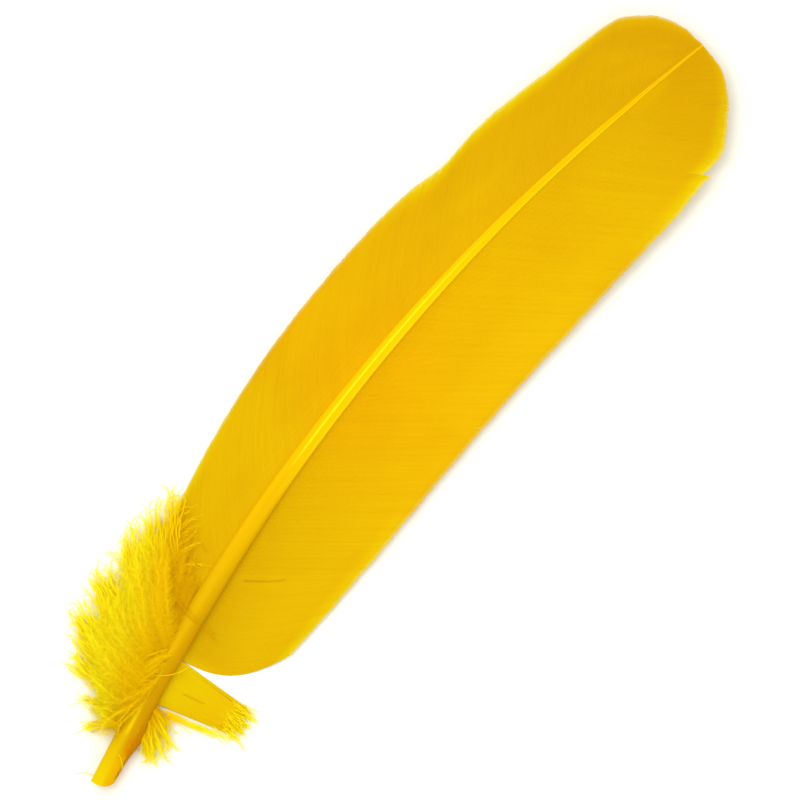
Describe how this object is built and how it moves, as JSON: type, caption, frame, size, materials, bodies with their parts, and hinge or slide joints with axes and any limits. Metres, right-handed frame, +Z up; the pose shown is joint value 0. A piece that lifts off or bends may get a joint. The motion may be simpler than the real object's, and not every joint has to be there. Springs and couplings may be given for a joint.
{
  "type": "turkey wing quill",
  "caption": "Dyed yellow turkey wing quill lying grooved side up: a curved hollow-based shaft, a wide and a narrow vane, and fluffy down at the base.",
  "frame": {"origin": "on the surface that the quill lies on, under the middle of its box", "axes": "+X from the cut end of the shaft to the tip, +Y to the narrow vane, +Z up from the surface, out of the shaft's grooved side"},
  "size_m": [0.2948, 0.0719, 0.0109],
  "materials": {
    "vane": "matt to silky dyed yellow web of fine barbs",
    "shaft": "satin dyed horn, smooth at the base and grooved beyond",
    "down": "soft, fluffy dyed yellow down"
  },
  "bodies": {
    "root": {"wing_quill": "vane"}
  },
  "joints": []
}
